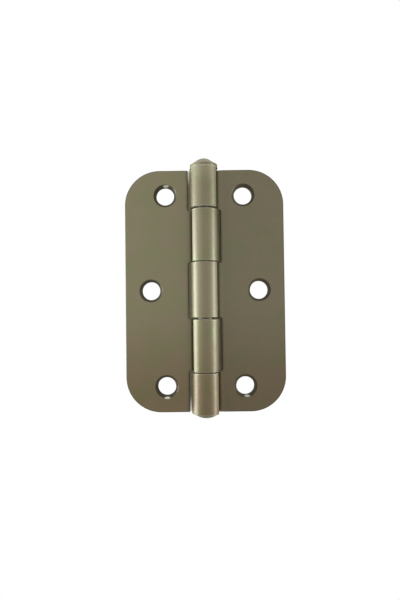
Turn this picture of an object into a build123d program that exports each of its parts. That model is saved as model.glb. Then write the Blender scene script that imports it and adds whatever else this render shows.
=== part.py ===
from build123d import *

import math
import os

# A round-corner butt hinge: two leaves pressed from steel sheet, their knuckles curled round one fixed pin.
# Millimetres. X runs across the open leaves, Y from the front with the proud barrel to the flat back, and Z up
# along the pin. The origin lies on the pin's axis, halfway along the whole pin.

# Leaves. Each is one sheet, flat from its outer edge almost to the barrel.
leaf_height = 76.0
leaf_reach = 25.0
sheet = 2.0
corner_radius = 11.0
edge_break = 0.2

# Barrel. The sheet keeps its thickness round the curl, so the bore and the sheet give the outside.
# The middle knuckle takes what the two pairs leave of the height. Each knuckle of the door leaf sits close over
# the knuckle below it, with a wider seam above.
bore_diameter = 5.0
end_knuckle = 12.8
second_knuckle = 16.5
seam_over = 0.4
seam_under = 0.1

# Curl. The flat stands a little behind the pin's axis, stops just short of the barrel, bends back and runs
# straight into the knuckle. Its tip ends above the axis, clear of the flat, with a rounded outer edge.
face_setback = 1.25
flat_margin = 0.5
swage_radius = 1.5
tip_angle = 26.0
tip_round = 0.6

# Slots that let the other leaf's knuckles turn, with rounded corners where the punch had them.
slot_gap = 0.6
slot_corner = 0.6

# Screw holes, countersunk from the front: one pair near the ends, and one hole further out at mid-height.
hole_diameter = 5.7
hole_mouth = 7.3
hole_pitch = 60.0
end_hole_reach = 12.3
middle_hole_reach = 17.0

# Pin. Its head stands on the top knuckle and rises at a steady slope to a rounded crown. Its lower end is
# spread into a low dome over the bottom knuckle.
pin_clearance = 0.05
head_inset = 0.2
head_side = 1.0
head_slope = 34.0
crown_radius = 3.8
foot_inset = 0.8
foot_side = 0.1
foot_dome = 1.4

# What follows from these sizes.
bore_radius = bore_diameter / 2
barrel_radius = bore_radius + sheet
back_face = face_setback + sheet
flat_start = barrel_radius + flat_margin
slot_root = barrel_radius + slot_gap
pin_radius = bore_radius - pin_clearance
head_radius = barrel_radius - head_inset
crown_centre = (
    head_side + head_radius * math.tan(math.radians(head_slope)) - crown_radius / math.cos(math.radians(head_slope))
)
head_rise = crown_centre + crown_radius
foot_radius = barrel_radius - foot_inset
foot_rise = foot_side + foot_dome
middle_z = (foot_rise - head_rise) / 2
top_z = middle_z + leaf_height / 2
bottom_z = middle_z - leaf_height / 2

# The five knuckles from the top down, given by the two ends of the barrel and the middles of its four seams.
seams = [seam_over, seam_under, seam_over, seam_under]
knuckle_ends = [
    top_z,
    top_z - end_knuckle,
    top_z - end_knuckle - second_knuckle,
    bottom_z + end_knuckle + second_knuckle,
    bottom_z + end_knuckle,
    bottom_z,
]
frame_knuckles = (0, 2, 4)
door_knuckles = (1, 3)


def polar(radius, degrees):
    return Vector(radius * math.cos(math.radians(degrees)), radius * math.sin(math.radians(degrees)))


def arc(centre, radius, first, last):
    """The arc about centre from the angle first to the angle last, in degrees."""
    middle = (first + last) / 2
    return ThreePointArc(*(centre + polar(radius, angle) for angle in (first, middle, last)))


def leaf_section():
    """The sheet cut across the pin, for a leaf that runs to +X: flat, bend, straight slope and curl."""
    axis = Vector(0, 0)
    bend = Vector(flat_start, back_face + swage_radius)
    # The slope leaves the bend and meets the knuckle square to one and the same direction, seen from each centre.
    lean = math.degrees(math.acos((swage_radius + barrel_radius) / bend.length))
    slope = math.degrees(math.atan2(bend.Y, bend.X)) + lean
    tip = 360 - tip_angle
    outer_bend = swage_radius + sheet

    front = [
        Line((leaf_reach, face_setback), (flat_start, face_setback)),
        arc(bend, outer_bend, 270, 180 + slope),
        Line(bend - polar(outer_bend, slope), polar(bore_radius, slope)),
        arc(axis, bore_radius, slope, tip),
    ]
    back = [
        arc(axis, barrel_radius, tip, slope),
        Line(polar(barrel_radius, slope), bend - polar(swage_radius, slope)),
        arc(bend, swage_radius, 180 + slope, 270),
        Line((flat_start, back_face), (leaf_reach, back_face)),
    ]
    tip_end = Line(polar(bore_radius, tip), polar(barrel_radius, tip))
    outer_edge = Line((leaf_reach, back_face), (leaf_reach, face_setback))
    section = make_face(Wire([*front, tip_end, *back, outer_edge]))
    outer_corner = section.vertices().sort_by_distance(polar(barrel_radius, tip))[0]
    return fillet(outer_corner, tip_round)


def knuckle_slot(number):
    """What a leaf loses to knuckle number of the other leaf, with half a seam to spare at each end."""
    overrun = sheet
    at_top = number == 0
    at_bottom = number == len(seams)
    top = knuckle_ends[number] + (overrun if at_top else seams[number - 1] / 2)
    bottom = knuckle_ends[number + 1] - (overrun if at_bottom else seams[number] / 2)
    width = slot_root + barrel_radius + overrun
    depth = 2 * (barrel_radius + overrun)
    cutter = Pos(slot_root - width / 2, 0, (top + bottom) / 2) * Box(width, depth, top - bottom)
    root_corners = cutter.edges().filter_by(Axis.Y).group_by(Axis.X)[-1]
    return fillet([e for e in root_corners if bottom_z < e.center().Z < top_z], slot_corner)


def screw_hole(reach, height):
    """A straight hole right through the sheet, and a square countersink that opens at the front face."""
    to_back = Rot(X=-90)
    sink = (hole_mouth - hole_diameter) / 2
    straight = Pos(reach, face_setback + sheet / 2, height) * to_back * Cylinder(hole_diameter / 2, 2 * sheet)
    mouth = Pos(reach, face_setback, height) * to_back * Cone(hole_mouth / 2 + sink, hole_diameter / 2, 2 * sink)
    return straight + mouth


def eased(part):
    """The part with a narrow bevel on the rims of its knuckles and round its flat, front and back."""
    knuckle_rims = [
        e for e in part.edges().filter_by(GeomType.CIRCLE) if abs(e.radius - barrel_radius) < edge_break / 100
    ]
    flat_outline = [
        e
        for e in part.edges()
        if e.bounding_box().size.Y < edge_break / 100 and e.center().X > flat_start + edge_break / 100
    ]
    return chamfer(knuckle_rims + flat_outline, edge_break)


def leaf(other_knuckles):
    """A whole leaf that runs to +X and leaves room for the other leaf's knuckles."""
    part = Pos(0, 0, bottom_z) * extrude(leaf_section(), leaf_height)
    outer_corners = part.edges().filter_by(Axis.Y).group_by(Axis.X)[-1]
    part = fillet(outer_corners, corner_radius)
    for number in other_knuckles:
        part -= knuckle_slot(number)
    part = eased(part)
    for height in (middle_z - hole_pitch / 2, middle_z + hole_pitch / 2):
        part -= screw_hole(end_hole_reach, height)
    return part - screw_hole(middle_hole_reach, middle_z)


def leaning(length, degrees):
    """A step of the given length from a centre on the pin's axis, leaning out from straight up."""
    return Vector(length * math.sin(math.radians(degrees)), 0, length * math.cos(math.radians(degrees)))


def head_outline():
    """Half the head's outline above its side: the straight slope, then the round crown."""
    rim = Vector(head_radius, 0, top_z + head_side)
    centre = Vector(0, 0, top_z + crown_centre)
    slope_end, halfway, summit = (centre + leaning(crown_radius, a) for a in (head_slope, head_slope / 2, 0))
    return [Line(rim, slope_end), ThreePointArc(slope_end, halfway, summit)]


def foot_outline():
    """Half the outline of the low dome under the foot's side."""
    sphere = (foot_radius**2 + foot_dome**2) / (2 * foot_dome)
    spread = math.degrees(math.asin(foot_radius / sphere))
    centre = Vector(0, 0, bottom_z - foot_rise + sphere)
    return [ThreePointArc(*(centre + leaning(sphere, 180 - a) for a in (spread, spread / 2, 0)))]


def hinge_pin():
    """The pin turned about its axis: head on the top knuckle, shank, and the spread lower end."""
    steps = Polyline(
        (foot_radius, 0, bottom_z - foot_side),
        (foot_radius, 0, bottom_z),
        (pin_radius, 0, bottom_z),
        (pin_radius, 0, top_z),
        (head_radius, 0, top_z),
        (head_radius, 0, top_z + head_side),
    )
    axis = Line((0, 0, bottom_z - foot_rise), (0, 0, top_z + head_rise))
    return revolve(make_face([*steps.edges(), axis, *head_outline(), *foot_outline()]), Axis.Z, 360)


# The frame leaf carries knuckles one, three and five, and the door leaf two and four.
nodes = {
    "frame_leaf": leaf(door_knuckles),
    "door_leaf": mirror(leaf(frame_knuckles), Plane.YZ),
    "hinge_pin": hinge_pin(),
}
os.makedirs("parts", exist_ok=True)
for name, shape in nodes.items():
    export_step(shape, f"parts/{name}.step")
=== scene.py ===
# %% [markdown]
# # A round-corner butt hinge, plated olive brown
#
# The hinge comes ready made as a frame: two curled leaves and a headed pin, at their real size in metres.
# What is left for Blender is the light, the camera and the plating. The shapes already carry every bend,
# slot and countersink, so nothing here adds a mesh to the hinge itself.

# %% Load the hinge
import math

import bpy
from mathutils import Matrix, Vector


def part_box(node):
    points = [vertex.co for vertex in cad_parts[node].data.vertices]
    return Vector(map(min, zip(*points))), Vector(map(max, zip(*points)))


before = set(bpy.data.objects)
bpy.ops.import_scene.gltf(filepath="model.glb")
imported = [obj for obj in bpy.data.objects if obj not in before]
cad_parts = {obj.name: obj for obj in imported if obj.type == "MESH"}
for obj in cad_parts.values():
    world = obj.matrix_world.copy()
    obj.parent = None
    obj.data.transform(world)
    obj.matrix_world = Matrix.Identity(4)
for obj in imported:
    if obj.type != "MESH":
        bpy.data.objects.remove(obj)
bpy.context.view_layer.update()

print("pieces:", ", ".join(sorted(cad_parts)))

# %% [markdown]
# ## Units and the places that everything else is measured from
#
# One named millimetre keeps the numbers below readable. The leaves tell where the middle of the sheet is:
# the pin's head reaches higher than its foot, so the leaves' middle lies a little under the origin.
# Reading it from the leaf's own box means that it follows the model when the model changes.

# %% Millimetres, and the middle of the leaves
MM = 0.001
leaf_low, leaf_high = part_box("frame_leaf")
leaf_middle = (leaf_low.z + leaf_high.z) / 2
half_height = (leaf_high.z - leaf_low.z) / 2
SHEET = 2.0 * MM


def back_of_leaf():
    """How far back the leaf's flat lies, which its outer edge shows. The barrel reaches further."""
    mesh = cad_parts["frame_leaf"].data
    return max(v.co.y for v in mesh.vertices if v.co.x > leaf_high.x - MM)


print("the leaves' middle is", round(leaf_middle / MM, 2), "mm from the origin")

# %% [markdown]
# ## The camera
#
# A small part photographed this close shows strong perspective: the near side of the barrel is visibly larger
# than the leaves behind it, and its seams bow up above the lens and down below it. A long lens from far away
# would flatten both. So the camera stands about 135 mm in front of the pin with a 26 mm lens, a touch to the
# left and below the middle, and looks slightly up. The small roll gives the hinge its lean to the left.

# %% Camera
EYE = Vector((-1.0, -134.8, -6.0)) * MM + Vector((0, 0, leaf_middle))
LENS = 26.0
FILM = 36.0
LOOK_LEFT = math.radians(0.27)
LOOK_UP = math.radians(1.26)
LEAN = math.radians(-0.70)

camera = bpy.data.objects.new("camera", bpy.data.cameras.new("camera"))
camera.data.lens = LENS
camera.data.sensor_width = FILM
camera.data.clip_start = 1 * MM
upright = Matrix.Rotation(LOOK_LEFT, 4, "Z") @ Matrix.Rotation(math.pi / 2 + LOOK_UP, 4, "X")
camera.matrix_world = Matrix.Translation(EYE) @ upright @ Matrix.Rotation(LEAN, 4, "Z")
bpy.context.scene.collection.objects.link(camera)
bpy.context.scene.camera = camera
print("the camera is", round(-EYE.y / MM), "mm in front of the pin")

# %% [markdown]
# ## Shader maths that reads like maths
#
# Every finish below is a sum of masks and noises. Wiring those by hand takes a line for each node and link,
# and the idea gets lost. Here one class wraps a socket, and Python's own operators add the Math nodes, so
# `1 - mask` is written as just that. Every other kind of node comes from one method.

# %% The bench and its signals
class Signal:
    """One output socket. Arithmetic with numbers or other signals adds the Math node that does it."""

    def __init__(self, bench, socket):
        self.bench = bench
        self.socket = socket

    def maths(self, operation, *values):
        return self.bench.node("ShaderNodeMath", {"operation": operation}, dict(enumerate(values)))["Value"]

    def __add__(self, other):
        return self.maths("ADD", self, other)

    def __radd__(self, other):
        return self.maths("ADD", other, self)

    def __sub__(self, other):
        return self.maths("SUBTRACT", self, other)

    def __rsub__(self, other):
        return self.maths("SUBTRACT", other, self)

    def __mul__(self, other):
        return self.maths("MULTIPLY", self, other)

    def __rmul__(self, other):
        return self.maths("MULTIPLY", other, self)

    def __abs__(self):
        return self.maths("ABSOLUTE", self)

    def larger(self, other):
        return self.maths("MAXIMUM", self, other)

    def ramp(self, low, high):
        """Zero below low, one above high and a smooth step between; low may be the larger number."""
        settings = {"interpolation_type": "SMOOTHSTEP"}
        values = {"Value": self, "From Min": low, "From Max": high}
        return self.bench.node("ShaderNodeMapRange", settings, values)["Result"]


class Bench:
    """A node tree on which finishes are made."""

    def __init__(self, tree):
        self.tree = tree
        tree.nodes.clear()

    def node(self, kind, settings=None, values=None):
        """Adds a node with its settings, then its sockets' values or links. Returns its outputs by name."""
        made = self.tree.nodes.new(kind)
        for name, setting in (settings or {}).items():
            setattr(made, name, setting)
        by_identifier = {socket.identifier: socket for socket in made.inputs}
        for name, value in (values or {}).items():
            socket = by_identifier[name] if name in by_identifier else made.inputs[name]
            if isinstance(value, Signal):
                self.tree.links.new(value.socket, socket)
            else:
                socket.default_value = value
        return {output.name: Signal(self, output) for output in made.outputs if output.enabled}

    def mix(self, share, first, second):
        """Blends two colours."""
        values = {"Factor_Float": share, "A_Color": first, "B_Color": second}
        return self.node("ShaderNodeMix", {"data_type": "RGBA"}, values)["Result"]

    def scaled(self, colour, amount):
        """Makes a colour lighter or darker."""
        values = {0: colour, "Scale": amount}
        return self.node("ShaderNodeVectorMath", {"operation": "SCALE"}, values)["Vector"]


def finish_for(name):
    material = bpy.data.materials.new(name)
    material.use_nodes = True
    return material, Bench(material.node_tree)


print("the bench is ready")

# %% [markdown]
# ## Floor
#
# A product photograph of a small part hides its table: it is white, and far enough below to catch no shadow in
# the picture. A sheet close behind the hinge would do that too, but it would hide the back from every other
# view. So a round pale table stands some way under the hinge, just out of the camera's sight. It is matt and
# keeps the shadows that fall on it. The camera and the metal also see part of it as plain white, so that it
# reads as pale as the room and the barrel doesn't mirror a grey spot.

# %% Pale floor
FLOOR_DROP = 0.30
FLOOR_RADIUS = 0.28
FLOOR_PALE = (0.66, 0.66, 0.65, 1)
FLOOR_WHITE = 0.5
FLOOR_CORNERS = 96
WHITE = (1, 1, 1, 1)


def seen_directly(bench):
    """One for the camera, for reflections and for what shows through glass, and zero for all other rays."""
    ray = bench.node("ShaderNodeLightPath")
    return ray["Is Camera Ray"].larger(ray["Is Glossy Ray"]).larger(ray["Is Transmission Ray"])


def pale_floor():
    angles = [2 * math.pi * i / FLOOR_CORNERS for i in range(FLOOR_CORNERS)]
    rim = [(FLOOR_RADIUS * math.cos(a), FLOOR_RADIUS * math.sin(a), -FLOOR_DROP) for a in angles]
    mesh = bpy.data.meshes.new("floor")
    mesh.from_pydata(rim, [], [tuple(range(FLOOR_CORNERS))])
    floor = bpy.data.objects.new("floor", mesh)
    bpy.context.scene.collection.objects.link(floor)
    material, bench = finish_for("pale_floor")
    matt = bench.node("ShaderNodeBsdfDiffuse", values={"Color": FLOOR_PALE, "Roughness": 0.5})["BSDF"]
    white = bench.node("ShaderNodeEmission", values={"Color": WHITE, "Strength": 1.0})["Emission"]
    share = seen_directly(bench) * FLOOR_WHITE
    surface = bench.node("ShaderNodeMixShader", values={0: share, 1: matt, 2: white})["Shader"]
    bench.node("ShaderNodeOutputMaterial", values={"Surface": surface})
    mesh.materials.append(material)
    print("the floor lies", round(FLOOR_DROP / MM), "mm under the middle of the pin")


pale_floor()

# %% [markdown]
# ## The light
#
# The highlights on the barrel are the best record of the lamps. A round bar shows the whole room as a strip:
# one bright band on each flank means a soft box on either side, almost square to the camera. The left band is
# wider and brighter, so its box is wider too. Both bands fade towards the top, so the boxes stand a little low.
# A broad panel between the camera and the left box, a little less bright than the room, keeps that band from
# ending too sharply, and a box overhead gives the pin's head its sheen. Their light is a little cool, which
# turns the highlights of the warm plating nearly grey, as they are in the photograph.
#
# The world is the white room. The camera and every reflection see it at full white, and it lights anything
# matt a little less, because the boxes add their own share there.

# %% World
ROOM_LIGHT = 0.85


def white_room():
    world = bpy.data.worlds.new("white_room")
    world.use_nodes = True
    bpy.context.scene.world = world
    bench = Bench(world.node_tree)
    strength = ROOM_LIGHT + seen_directly(bench) * (1 - ROOM_LIGHT)
    background = bench.node("ShaderNodeBackground", values={"Color": WHITE, "Strength": strength})
    bench.node("ShaderNodeOutputWorld", values={"Surface": background["Background"]})


white_room()
print("the room is white, and lights at", ROOM_LIGHT)

# %% Soft boxes
DAYLIGHT = (0.82, 0.91, 1.0)
BOX_DISTANCE = 0.5


def soft_box(name, turn, rise, width, height, radiance):
    """A soft box aimed at the hinge. turn and rise are degrees from the camera's side to the right and up."""
    lamp = bpy.data.lights.new(name, "AREA")
    lamp.shape = "RECTANGLE"
    lamp.size = width
    lamp.size_y = height
    lamp.color = DAYLIGHT
    lamp.energy = radiance * math.pi * width * height
    holder = bpy.data.objects.new(name, lamp)
    across, up = math.radians(turn), math.radians(rise)
    level = math.cos(up)
    towards = Vector((math.sin(across) * level, -math.cos(across) * level, math.sin(up)))
    holder.location = towards * BOX_DISTANCE
    holder.rotation_mode = "QUATERNION"
    holder.rotation_quaternion = (-towards).to_track_quat("-Z", "Y")
    holder.visible_camera = False
    bpy.context.scene.collection.objects.link(holder)
    print(name, "is", radiance, "times as bright as the room")


soft_box("left_box", turn=-94, rise=-3, width=0.36, height=0.34, radiance=10.8)
soft_box("fill_panel", turn=-52, rise=18, width=0.45, height=0.40, radiance=0.85)
soft_box("top_box", turn=0, rise=86, width=0.30, height=0.30, radiance=3.0)
soft_box("right_box", turn=75, rise=-6, width=0.15, height=0.38, radiance=9.5)

# %% [markdown]
# ## The plating
#
# The leaves are steel with a satin antique plating under a thin clear lacquer. It is metal through and
# through, so the whole colour sits in the metal's own reflection. An image could carry its colours, but it
# would blur when looked at closely and tie the finish to one layout. Here nearly every mask is computed from
# the object's own coordinates in metres, so it is sharp at any size and stays put when a leaf swings.
#
# All three pieces wear the same plating with other numbers, so it is built in steps. Each step takes a blank,
# which knows where a point of the hinge lies and how it faces, and makes a mask or a colour from that.

# %% A blank to work on
BARREL_RADIUS = -leaf_low.y
FLAT_BLEND = 2 * MM
FACE = back_of_leaf() - SHEET
NOISE_ROUGHNESS = 0.55


class Blank:
    """A new finish, with the place in metres, the way the surface faces, and noise to build masks from."""

    def __init__(self, name, shift):
        self.material, self.bench = finish_for(name)
        coordinates = self.bench.node("ShaderNodeTexCoord")
        place = coordinates["Object"]
        moving = {"Vector": place, "Location": shift}
        self.moved = self.bench.node("ShaderNodeMapping", values=moving)["Vector"]
        parts = self.bench.node("ShaderNodeSeparateXYZ", values={"Vector": place})
        self.across, self.depth, self.height = parts["X"], parts["Y"], parts["Z"]
        self.sideways = abs(self.across)
        facing = self.bench.node("ShaderNodeSeparateXYZ", values={"Vector": coordinates["Normal"]})
        self.faces_front = facing["Y"] * facing["Y"]
        self.faces_up = facing["Z"] * facing["Z"]
        self.on_flat = self.sideways.ramp(BARREL_RADIUS, BARREL_RADIUS + FLAT_BLEND)

    def noise(self, size, detail, stretch=1):
        """Noise with grains of the given size, drawn out along the pin by stretch."""
        squeezing = {"Vector": self.moved, "Scale": (1, 1, 1 / stretch)}
        squeezed = self.bench.node("ShaderNodeMapping", values=squeezing)["Vector"]
        values = {"Vector": squeezed, "Scale": 1 / size, "Detail": detail, "Roughness": NOISE_ROUGHNESS}
        return self.bench.node("ShaderNodeTexNoise", {"noise_dimensions": "3D"}, values)["Fac"]

    def oval(self, sideways, middle, wide, tall, inner, outer):
        """One inside an oval, zero outside it. middle is its place across and up, wide and tall are half its
        size, and its edge runs from inner to outer, as shares of that half size squared."""
        right = (sideways - middle[0]) * (1 / wide)
        up = (self.height - middle[1]) * (1 / tall)
        return (right * right + up * up).ramp(outer, inner)


print("the barrel's radius is", round(BARREL_RADIUS / MM, 2), "mm")
print("the leaf's face lies", round(FACE / MM, 2), "mm behind the pin's axis")

# %% [markdown]
# ### Clouds of two tones
#
# Looked at closely the plating is not one colour. An olive tone and a browner one of the same lightness drift
# into each other over a centimetre or so, with fine grain over both, and lower down both are darker and
# browner. One noise could do it, but a real finish varies at several scales at once. So clouds choose the
# tone, patches and specks change how light it is, and fine lines along the pin carry the satin grain.

# %% Mottling
CLOUDS, PATCHES, SPECKS, LINES = 7 * MM, 3 * MM, 0.5 * MM, 0.12 * MM
LINE_STRETCH = 30
CLOUD_EDGE = (0.36, 0.64)


def mottle(blank, brown):
    """Adds the four noises that the later steps share. brown pushes the clouds towards the browner tone."""
    blank.clouds = (blank.noise(CLOUDS, 3) + brown).ramp(*CLOUD_EDGE)
    blank.patches = blank.noise(PATCHES, 2)
    blank.specks = blank.noise(SPECKS, 4)
    blank.lines = blank.noise(LINES, 2, stretch=LINE_STRETCH)


print("grains in mm:", [round(size / MM, 2) for size in (CLOUDS, PATCHES, SPECKS, LINES)])

# %% Cloud colours
HIGH_OLIVE = (0.156, 0.148, 0.076, 1)
HIGH_BROWN = (0.176, 0.148, 0.087, 1)
LOW_OLIVE = (0.111, 0.093, 0.039, 1)
LOW_BROWN = (0.134, 0.092, 0.047, 1)
RAGGED = 0.25
SPECK_CHANGE = 0.16
PATCH_CHANGE = 0.1


def cloudy_colour(blank, flat_tone):
    """The plating's own colour. flat_tone is how much of its light the flat keeps, beside the knuckles."""
    low_down = blank.height.ramp(leaf_middle, leaf_middle - half_height) + (blank.patches - 0.5) * RAGGED
    high = blank.bench.mix(blank.clouds, HIGH_OLIVE, HIGH_BROWN)
    low = blank.bench.mix(blank.clouds, LOW_OLIVE, LOW_BROWN)
    light = 1 - blank.on_flat * (1 - flat_tone)
    light = light + (blank.specks - 0.5) * SPECK_CHANGE + (blank.patches - 0.5) * PATCH_CHANGE
    return blank.bench.scaled(blank.bench.mix(low_down, high, low), light)


print("the tone changes over", round(half_height / MM), "mm, from the middle down")

# %% [markdown]
# ### Painted shade in hollows, bevels and hole mouths
#
# Shade is painted into the colour: darker in the hollows, darker on the bevel round each leaf, so that it shows
# no glint, and darkest in the mouths of the screw holes, which are painted dark and matt, not metal. Ambient
# occlusion finds hollows by itself, but a bevel stands open and nothing hides it. It leans halfway between the
# face and the edge, though, so the square of its normal's Y is about a half, and that picks it out cleanly. The
# mouths are round, so plain circles do for them. They sit a touch towards the leaf's outer edge, so their
# painted shade is thicker there.

# %% Screw holes
HOLE_PITCH = 60 * MM
END_HOLE_REACH = 12.3 * MM
MIDDLE_HOLE_REACH = 17.0 * MM
# The painted shade round the screw holes sits this far towards the leaf's outer edge.
SHADE_SHIFT = 0.12 * MM
MOUTH_RADIUS = 3.55 * MM
LOW_HOLE = leaf_middle - HOLE_PITCH / 2
HIGH_HOLE = leaf_middle + HOLE_PITCH / 2
HOLES = [
    (END_HOLE_REACH + SHADE_SHIFT, HIGH_HOLE),
    (MIDDLE_HOLE_REACH + SHADE_SHIFT, leaf_middle),
    (END_HOLE_REACH + SHADE_SHIFT, LOW_HOLE),
]


def at_holes(blank, inner, outer):
    """One at the three screw holes of a leaf, with an edge from inner to outer as in Blank.oval."""
    shown = 0
    for middle in HOLES:
        ring = blank.oval(blank.sideways, middle, MOUTH_RADIUS, MOUTH_RADIUS, inner, outer)
        shown = ring.larger(shown)
    return shown


print("screw holes in mm, across and up:", [tuple(round(v / MM, 2) for v in hole) for hole in HOLES])

# %% Painted shade in hollows and bevels
HOLLOW_REACH = 1.5 * MM
HOLLOW_EDGE = (0.02, 0.16)
BEVEL_FRONT_EDGE = (0.78, 0.65)
BEVEL_SIDE_EDGE = (0.22, 0.35)
ROUND_HOLES = (1.1, 1.3)
LESS_AT_HOLES = 0.5


def hollow_and_bevel_shade(blank):
    """Painted shade in the hollows and bevels of a flat, and less on what leans that way round a screw hole."""
    occlusion = blank.bench.node("ShaderNodeAmbientOcclusion", {"samples": 8}, {"Distance": HOLLOW_REACH})
    hollow = (1 - occlusion["AO"]).ramp(*HOLLOW_EDGE)
    bevel = blank.faces_front.ramp(*BEVEL_FRONT_EDGE) * blank.faces_front.ramp(*BEVEL_SIDE_EDGE)
    bevel = bevel * (1 - at_holes(blank, *ROUND_HOLES) * LESS_AT_HOLES)
    return hollow.larger(bevel) * blank.on_flat


# A hollow is painted in shade where something stands within this reach.
print("a hollow is dirty where something stands within", round(HOLLOW_REACH / MM, 1), "mm")

# %% [markdown]
# ### Wear and painted highlights
#
# A hinge wears where it is touched. The rims of the knuckles are painted pale: partly wear, where the plating
# rubs thin, and partly a painted highlight where they catch the light from above. The seams are brighter than
# plated ends would make them, so the ends that turn against each other are painted pale too, as a painted
# highlight in the seams. The two outer ends of the barrel keep their plating. The front of the top knuckle is
# painted a little paler.
#
# A Bevel node finds the rims: it rounds the normal at an edge, and where that differs from the true normal
# there is an edge. It is used on the barrel only, since the flats' bevels are found above.

# %% Pale rims: wear and a painted highlight
RIM_REACH = 0.3 * MM
RIM_EDGE = (0.01, 0.2)
RIM_BREAKS = (0.2, 0.6)
RIM_LEAST = 0.6


def rims_worn_and_lit(blank):
    """One along the knuckles' rims, pale from wear and a painted highlight, broken up a little by the patches.
    """
    soft_normal = blank.bench.node("ShaderNodeBevel", {"samples": 6}, {"Radius": RIM_REACH})["Normal"]
    true_normal = blank.bench.node("ShaderNodeNewGeometry")["Normal"]
    normals = {0: soft_normal, 1: true_normal}
    agreement = blank.bench.node("ShaderNodeVectorMath", {"operation": "DOT_PRODUCT"}, normals)["Value"]
    edge = (1 - agreement).ramp(*RIM_EDGE)
    unbroken = RIM_LEAST + blank.patches.ramp(*RIM_BREAKS) * (1 - RIM_LEAST)
    return edge * unbroken * (1 - blank.on_flat)


print("a rim is pale for", round(RIM_REACH / MM, 1), "mm")

# %% The painted highlight in the seams, and the paler top
TOP_END = leaf_middle + half_height
FACES_ALONG = (0.8, 0.95)
OUTER_ENDS = (half_height - 0.5 * MM, half_height - MM)
TOP_PALE_WIDE = (3.8 * MM, 1.8 * MM)
TOP_PALE_TALL = (TOP_END - 6 * MM, TOP_END - 0.5 * MM)


def seam_highlight(blank):
    """One on the ends of the knuckles that turn against each other, where a highlight is painted in the seams.
    """
    between_knuckles = abs(blank.height - leaf_middle).ramp(*OUTER_ENDS)
    return blank.faces_up.ramp(*FACES_ALONG) * (1 - blank.on_flat) * between_knuckles


def paler_top_front(blank):
    """One on the front of the barrel at its top end."""
    in_front = blank.sideways.ramp(*TOP_PALE_WIDE) * blank.depth.ramp(MM, -MM)
    return in_front * blank.height.ramp(*TOP_PALE_TALL)


print("the barrel's top end lies", round(TOP_END / MM, 1), "mm up")

# %% [markdown]
# ### Painted glints
#
# Three mouths carry a painted glint, a bright spot of reflected light on the hole's wall. A glint is a small
# flat oval, laid over the painted shade and the metal alike. It would show on the back of the leaf too, because
# an oval of coordinates goes right through the sheet. So it ends partway down the hole.

# %% Painted glints
GLINT_WIDE = 1.15 * MM
GLINT_TALL = 0.45 * MM
GLINT_FULL = FACE + 0.7 * MM
GLINT_GONE = FACE + 1.1 * MM


def painted_glints(blank, glints):
    """A painted glint as bright as each entry says, at its place across and up."""
    shown = 0
    for across, up, bright in glints:
        glint = blank.oval(blank.across, (across, up), GLINT_WIDE, GLINT_TALL, 0.0, 1.0) * bright
        shown = glint.larger(shown)
    return shown * blank.depth.ramp(GLINT_GONE, GLINT_FULL)


print("a nick is", round(2 * GLINT_WIDE / MM, 1), "mm wide")

# %% [markdown]
# ### All of it together
#
# The plating comes first, then the painted shade, the wear and the painted highlights over it, and the painted
# glints last. The mouths' painted shade ends just before the back of the sheet, so that no dark ring shows
# behind. The pin wears the same plating with pale rims, but without the seam highlight, the paler top or
# glints.

# %% The whole plating
# Pale colour of the rims' wear and painted highlight, and of the painted highlight in the seams.
WEAR_AND_HIGHLIGHT = (0.64, 0.62, 0.53, 1)
# Colour of the painted glints.
GLINT_COLOUR = (0.72, 0.70, 0.57, 1)
# Paler colour painted on the front of the barrel's top end.
TOP_PALE = (0.30, 0.27, 0.17, 1)
# Colour of the painted shade in the mouths of the screw holes.
MOUTH_SHADE_COLOUR = (0.050, 0.042, 0.026, 1)
LACQUER_TINT = (0.55, 0.52, 0.45, 1)
BACK = FACE + SHEET
MOUTH_EDGE = (0.86, 1.04)
MOUTH_DEPTH = (BACK, BACK - 0.2 * MM)
SHADE_DARKENS = 0.8
RIM_PALES = 0.95
SATIN = 0.50
CLOUDS_ROUGHEN, SPECKS_ROUGHEN, MOUTH_ROUGHENS = 0.05, 0.06, 0.4
RIM_POLISH, GLINT_POLISH = 0.05, 0.1
COAT = 0.6
COAT_LOST = 0.5
COAT_SATIN = 0.3
GRAIN_DEPTH = 0.01 * MM
GRAIN_STRENGTH = 0.12


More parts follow.
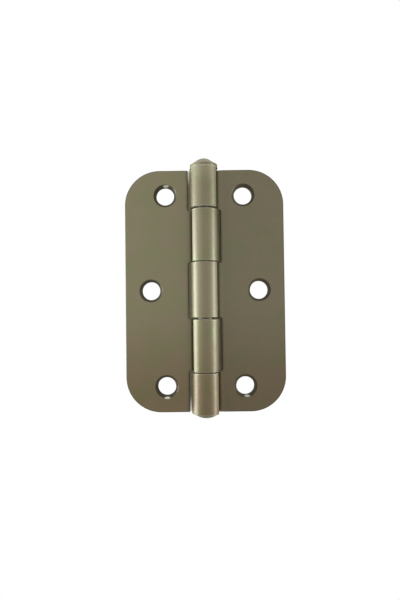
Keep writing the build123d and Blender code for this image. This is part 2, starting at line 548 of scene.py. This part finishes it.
def plating(name, shift, flat_tone=1.0, brown=0.0, paler_top=0.0, pale_seams=0.0, glints=()):
    """Satin plated steel, with painted shade, wear, painted highlights and painted glints. shift moves the
    noise, so that no two parts carry the same clouds, and brown adds brown to them. The last three say how pale
    the front of the top end is, how pale the painted highlight in the seams is, and where the painted glints
    go."""
    blank = Blank(name, shift)
    bench = blank.bench
    mottle(blank, brown)
    painted_shade, rim, glint = hollow_and_bevel_shade(blank), rims_worn_and_lit(blank), painted_glints(blank, glints)
    # Painted shade in the mouths of the screw holes, dark and matt instead of metal.
    mouth_shade = at_holes(blank, *MOUTH_EDGE) * (1 - glint) * blank.on_flat * blank.depth.ramp(*MOUTH_DEPTH)

    # Painted shade darkens the colour in the hollows and on the bevels.
    colour = bench.scaled(cloudy_colour(blank, flat_tone), 1 - painted_shade * SHADE_DARKENS)
    # The front of the top end is painted a little paler.
    colour = bench.mix(paler_top_front(blank) * paler_top, colour, TOP_PALE)
    # Pale rims: partly wear, partly a painted highlight.
    colour = bench.mix(rim * RIM_PALES, colour, WEAR_AND_HIGHLIGHT)
    # Painted highlight on the knuckles' ends in the seams.
    colour = bench.mix(seam_highlight(blank) * pale_seams, colour, WEAR_AND_HIGHLIGHT)
    colour = bench.mix(mouth_shade, colour, MOUTH_SHADE_COLOUR)
    # Painted glints: bright spots of reflected light in three mouths.
    colour = bench.mix(glint, colour, GLINT_COLOUR)

    roughness = SATIN + (blank.clouds - 0.5) * CLOUDS_ROUGHEN + (blank.specks - 0.5) * SPECKS_ROUGHEN
    roughness = roughness - rim * RIM_POLISH - glint * GLINT_POLISH + mouth_shade * MOUTH_ROUGHENS
    height = blank.specks * 0.5 + blank.lines * 0.5
    grain = {"Height": height, "Strength": GRAIN_STRENGTH, "Distance": GRAIN_DEPTH}
    metal = {
        "Base Color": colour,
        "Metallic": 1 - mouth_shade,
        "Roughness": roughness,
        "Specular Tint": LACQUER_TINT,
        # The lacquer is thinned under the painted shade, and left off in the mouths' painted shade.
        "Coat Weight": (COAT - painted_shade * COAT_LOST) * (1 - mouth_shade),
        "Coat Roughness": COAT_SATIN,
        "Normal": bench.node("ShaderNodeBump", values=grain)["Normal"],
    }
    surface = bench.node("ShaderNodeBsdfPrincipled", values=metal)["BSDF"]
    bench.node("ShaderNodeOutputMaterial", values={"Surface": surface})
    return blank.material


print("the plating is ready to wear")

# %% [markdown]
# ### Dressing the pieces
#
# In the photograph the right leaf is a little darker and browner than the left one. One finish for all would
# be simpler, but it would lose that, and the clouds would run on from piece to piece. So each piece gets its
# own finish from the same function, with its own numbers and its own stretch of noise.

# %% Dress the three pieces
# How pale the painted highlight in the seams is.
SEAM_PALENESS = 0.9
# Painted glints: the place across, the place up and the brightness of each.
RIGHT_GLINTS = [(12.8 * MM, LOW_HOLE - 3.15 * MM, 0.6)]
LEFT_GLINTS = [(-12.2 * MM, LOW_HOLE - 3.5 * MM, 0.7), (-12.0 * MM, HIGH_HOLE + 3.15 * MM, 0.75)]
RIGHT_LOOK = {"flat_tone": 0.81, "brown": 0.06, "paler_top": 0.42, "pale_seams": SEAM_PALENESS, "glints": RIGHT_GLINTS}
LEFT_LOOK = {"flat_tone": 1.07, "pale_seams": SEAM_PALENESS, "glints": LEFT_GLINTS}


def dress(node, material):
    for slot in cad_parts[node].material_slots:
        slot.material = material
    print(node, "wears", material.name)


dress("frame_leaf", plating("frame_leaf_plating", shift=(0.031, 0.007, 0.012), **RIGHT_LOOK))
dress("door_leaf", plating("door_leaf_plating", shift=(0.083, 0.041, 0.057), **LEFT_LOOK))
dress("hinge_pin", plating("pin_plating", shift=(0.012, 0.066, 0.093)))

# %% [markdown]
# ## The dark in the slots
#
# A hinge laid on its back shuts out the light under its barrel, so the narrow slots beside the knuckles read
# as dark lines although the room is white. A table top behind it would hide the hinge from every other side.
# A thin strip that runs through the middle of the sheet does the one job that is seen. The metal hides it
# everywhere but in the slots. It is dark where the slot's walls close round it, and clear where it lies open.
# That isn't perfect: seen from behind, and from above with the leaves folded shut, it still greys the daylight
# in some slots. Clearing it sooner lessens that, but the front view then matches the photograph less well. The
# slots on the door leaf's side are a little paler, as more light seems to reach under the hinge there, and at
# the leaves' two ends daylight comes in. The strip casts no shadow: only the camera and the metal's
# reflections see it.

# %% Slot shade
SLOT_ROOT = 5.1 * MM
SHADE_DEPTH = 0.95 * MM
SHADE_TRIM = 0.02 * MM
OPEN_END = 5.5 * MM
SHADE_REACH = 4 * MM
CLOSED_ROUND, LIES_OPEN = 0.48, 0.6
FRAME_SIDE = (0.052, 0.044, 0.026, 1)
DOOR_SIDE = (0.100, 0.092, 0.062, 1)
DAYLIT = (0.46, 0.45, 0.38, 1)


def shade_strip():
    """The strip itself, which the metal hides everywhere but in the slots."""
    reach = half_height - SHADE_TRIM
    corners = [
        (side * SLOT_ROOT, FACE + SHADE_DEPTH, leaf_middle + end * reach)
        for side, end in ((-1, -1), (1, -1), (1, 1), (-1, 1))
    ]
    mesh = bpy.data.meshes.new("slot_shade")
    mesh.from_pydata(corners, [], [(0, 1, 2, 3)])
    return bpy.data.objects.new("slot_shade", mesh)


def shade_finish():
    """Dark where the walls close round, and clear where it lies open."""
    material, bench = finish_for("slot_shade")
    occlusion = bench.node("ShaderNodeAmbientOcclusion", {"samples": 8}, {"Distance": SHADE_REACH})
    open_share = occlusion["AO"].ramp(CLOSED_ROUND, LIES_OPEN)
    place = bench.node("ShaderNodeTexCoord")["Object"]
    parts = bench.node("ShaderNodeSeparateXYZ", values={"Vector": place})
    to_end = abs(parts["Z"] - leaf_middle).ramp(half_height - OPEN_END, half_height)
    tone = bench.mix(parts["X"].ramp(-MM, MM), DOOR_SIDE, FRAME_SIDE)
    tone = bench.mix(to_end, tone, DAYLIT)
    dark = bench.node("ShaderNodeEmission", values={"Color": tone, "Strength": 1.0})["Emission"]
    clear = bench.node("ShaderNodeBsdfTransparent")["BSDF"]
    surface = bench.node("ShaderNodeMixShader", values={0: open_share, 1: dark, 2: clear})["Shader"]
    bench.node("ShaderNodeOutputMaterial", values={"Surface": surface})
    return material


shade = shade_strip()
bpy.context.scene.collection.objects.link(shade)
shade.data.materials.append(shade_finish())
for kind in ("diffuse", "transmission", "volume_scatter", "shadow"):
    setattr(shade, "visible_" + kind, False)
print("the shade lies", round(SHADE_DEPTH / MM, 2), "mm under the face of the leaf")

# %% [markdown]
#
# Nothing above moved or resized the hinge. The colours are shown as they were set, with no film look over them.

bpy.context.scene.view_settings.view_transform = "Standard"
